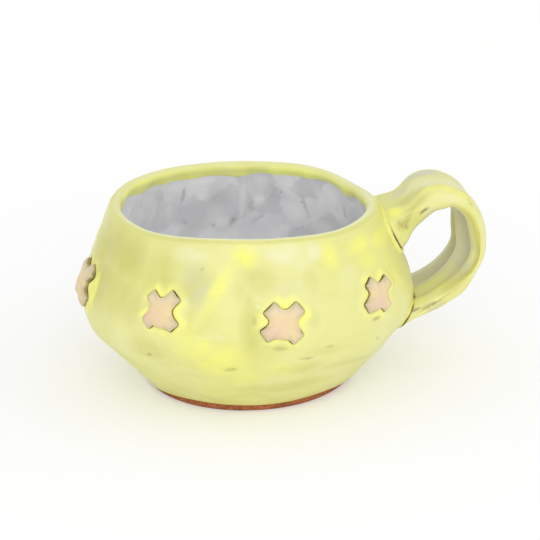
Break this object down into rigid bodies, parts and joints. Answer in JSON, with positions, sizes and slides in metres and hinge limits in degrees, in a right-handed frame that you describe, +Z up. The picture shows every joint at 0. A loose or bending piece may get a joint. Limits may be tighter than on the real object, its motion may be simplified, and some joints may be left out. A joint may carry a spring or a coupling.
{
  "type": "espresso cup",
  "caption": "Squat hand-built espresso cup with a rounded belly, a strap handle, a ring of raised crosses and a bright glaze over red clay.",
  "frame": {"origin": "centre of the foot's flat underside, on the bowl's axis", "axes": "+Z up out of the mouth, +X from the bowl's axis towards the handle"},
  "size_m": [0.1045, 0.0866, 0.0488],
  "materials": {
    "terracotta": "bare fired red clay, matt",
    "slip": "dark red clay slip in a seam, matt",
    "yellow_glaze": "streaky yellow glaze, satin gloss",
    "pale_glaze": "pale grey-white liner glaze, satin gloss",
    "peach_glaze": "pale peach glaze, satin"
  },
  "bodies": {
    "root": {"base": "terracotta", "wall": "terracotta", "handle_strap": "terracotta", "upper_root_slip": "slip", "lower_root_slip": "slip", "outer_glaze": "yellow_glaze", "handle_glaze": "yellow_glaze", "liner_glaze": "pale_glaze", "cross_1": "peach_glaze", "cross_2": "peach_glaze", "cross_3": "peach_glaze", "cross_4": "peach_glaze", "cross_5": "peach_glaze", "cross_6": "peach_glaze", "cross_7": "peach_glaze", "cross_8": "peach_glaze"}
  },
  "joints": []
}
